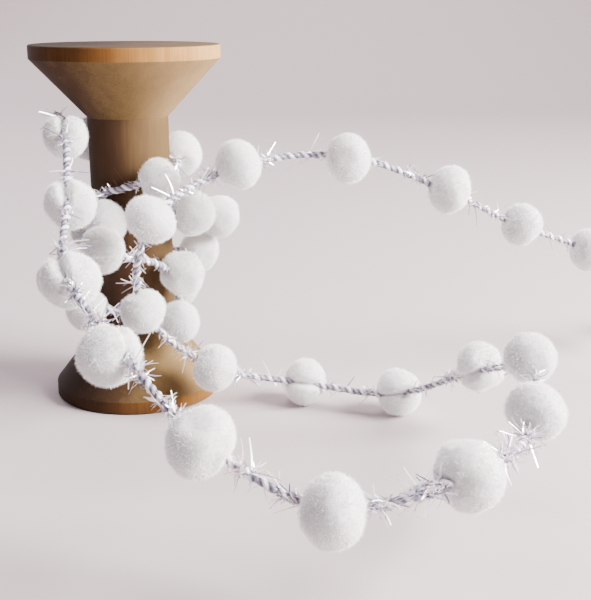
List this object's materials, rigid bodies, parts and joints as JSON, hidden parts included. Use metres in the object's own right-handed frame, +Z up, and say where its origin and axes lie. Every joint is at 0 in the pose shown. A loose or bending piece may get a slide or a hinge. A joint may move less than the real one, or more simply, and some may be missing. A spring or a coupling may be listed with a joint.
{
  "type": "pom pom garland on a wooden spool",
  "caption": "White craft pompoms on a wire-cored tinsel cord, wound loosely on a turned wooden spool with one loop standing forward and a strand off to the side.",
  "frame": {"origin": "centre of the spool's base, on the surface that the garland stands on", "axes": "+Z up along the spool's axis, +X to the right where the free strand runs, -Y forward where the loop stands"},
  "size_m": [0.2284, 0.2249, 0.109],
  "materials": {
    "turned_wood": "bare turned wood, lightly sanded",
    "tinsel_cord": "silver and white twisted tinsel yarn",
    "pompom_pile": "short dense white pile"
  },
  "bodies": {
    "root": {"wooden_spool": "turned_wood", "cord_wound": "tinsel_cord", "cord_loop": "tinsel_cord", "cord_strand": "tinsel_cord", "pompom_01": "pompom_pile", "pompom_02": "pompom_pile", "pompom_03": "pompom_pile", "pompom_04": "pompom_pile", "pompom_05": "pompom_pile", "pompom_06": "pompom_pile", "pompom_07": "pompom_pile", "pompom_08": "pompom_pile", "pompom_09": "pompom_pile", "pompom_10": "pompom_pile", "pompom_11": "pompom_pile", "pompom_12": "pompom_pile", "pompom_13": "pompom_pile", "pompom_14": "pompom_pile", "pompom_15": "pompom_pile", "pompom_16": "pompom_pile", "pompom_17": "pompom_pile", "pompom_18": "pompom_pile", "pompom_19": "pompom_pile", "pompom_20": "pompom_pile", "pompom_21": "pompom_pile", "pompom_22": "pompom_pile", "pompom_23": "pompom_pile", "pompom_24": "pompom_pile", "pompom_25": "pompom_pile", "pompom_26": "pompom_pile", "pompom_27": "pompom_pile", "pompom_28": "pompom_pile", "pompom_29": "pompom_pile", "pompom_30": "pompom_pile", "pompom_31": "pompom_pile", "pompom_32": "pompom_pile", "pompom_33": "pompom_pile", "pompom_34": "pompom_pile", "pompom_35": "pompom_pile", "pompom_36": "pompom_pile", "pompom_37": "pompom_pile", "pompom_38": "pompom_pile", "pompom_39": "pompom_pile"}
  },
  "joints": []
}
